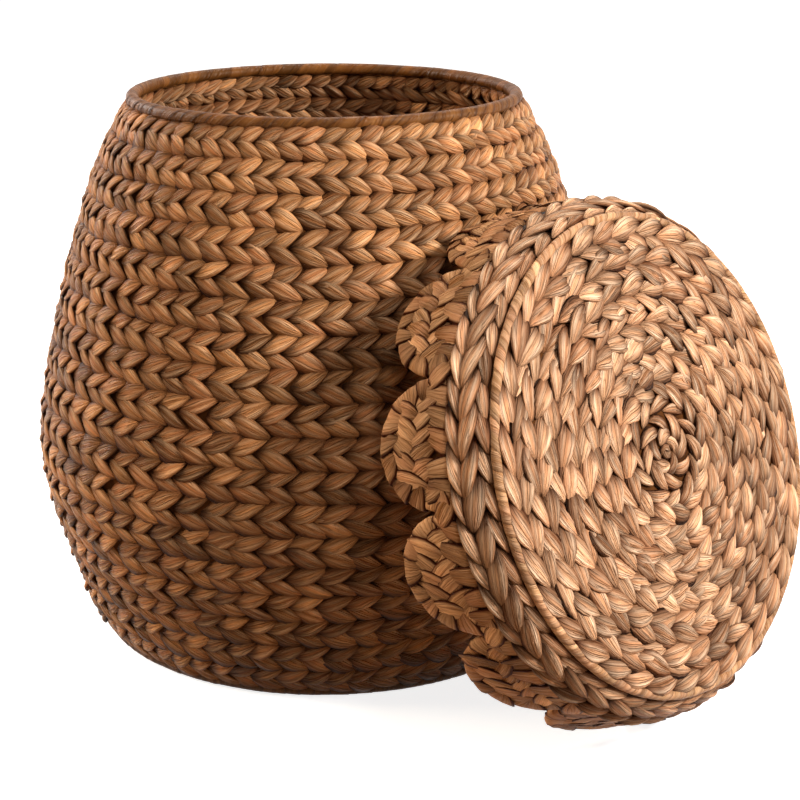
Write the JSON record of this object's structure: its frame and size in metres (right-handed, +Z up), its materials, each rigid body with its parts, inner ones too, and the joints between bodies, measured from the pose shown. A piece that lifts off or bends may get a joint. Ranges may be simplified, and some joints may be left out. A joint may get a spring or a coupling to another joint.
{
  "type": "lidded woven basket",
  "caption": "Pot-shaped basket of twined water hyacinth on a wire frame, open at the top, with a wrapped rim and a flat round lid with a scalloped skirt leaning on its side.",
  "frame": {"origin": "middle of the base's flat underside", "axes": "+Z up along the pot's axis, -Y towards the viewer of the picture, +X to the right"},
  "size_m": [0.6004, 0.5842, 0.43],
  "materials": {
    "wall_weave": "dry twisted plant leaf, satin",
    "lid_weave": "dry twisted plant leaf, satin",
    "leaf_wrap": "flat leaf wound tight, slight gloss",
    "frame_wire": "dark painted steel wire"
  },
  "bodies": {
    "basket": {"wall_frame": "frame_wire", "base_floor_under": "wall_weave", "base_floor_top": "wall_weave", "base_hoop_wrap": "leaf_wrap", "rim_wrap": "leaf_wrap", "wall_course_01": "wall_weave", "wall_course_02": "wall_weave", "wall_course_03": "wall_weave", "wall_course_04": "wall_weave", "wall_course_05": "wall_weave", "wall_course_06": "wall_weave", "wall_course_07": "wall_weave", "wall_course_08": "wall_weave", "wall_course_09": "wall_weave", "wall_course_10": "wall_weave", "wall_course_11": "wall_weave", "wall_course_12": "wall_weave", "wall_course_13": "wall_weave", "wall_course_14": "wall_weave", "wall_course_15": "wall_weave", "wall_course_16": "wall_weave", "wall_course_17": "wall_weave", "wall_course_18": "wall_weave"},
    "lid": {"lid_frame": "frame_wire", "lid_centre_top": "lid_weave", "lid_centre_under": "lid_weave", "lid_corner_wrap": "leaf_wrap", "lid_band_course": "lid_weave", "lid_top_course_1": "lid_weave", "lid_top_course_2": "lid_weave", "lid_top_course_3": "lid_weave", "lid_top_course_4": "lid_weave", "lid_top_course_5": "lid_weave", "scallop_edge_01": "leaf_wrap", "scallop_panel_01": "lid_weave", "scallop_edge_02": "leaf_wrap", "scallop_panel_02": "lid_weave", "scallop_edge_03": "leaf_wrap", "scallop_panel_03": "lid_weave", "scallop_edge_04": "leaf_wrap", "scallop_panel_04": "lid_weave", "scallop_edge_05": "leaf_wrap", "scallop_panel_05": "lid_weave", "scallop_edge_06": "leaf_wrap", "scallop_panel_06": "lid_weave", "scallop_edge_07": "leaf_wrap", "scallop_panel_07": "lid_weave", "scallop_edge_08": "leaf_wrap", "scallop_panel_08": "lid_weave", "scallop_edge_09": "leaf_wrap", "scallop_panel_09": "lid_weave", "scallop_edge_10": "leaf_wrap", "scallop_panel_10": "lid_weave", "scallop_edge_11": "leaf_wrap", "scallop_panel_11": "lid_weave", "scallop_edge_12": "leaf_wrap", "scallop_panel_12": "lid_weave", "scallop_edge_13": "leaf_wrap", "scallop_panel_13": "lid_weave"}
  },
  "joints": [
    {"name": "lid_lift", "type": "slide", "parent": "basket", "child": "lid", "axis": [0.706, -0.6246, 0.3338], "range_m": [0, 0.3]}
  ]
}
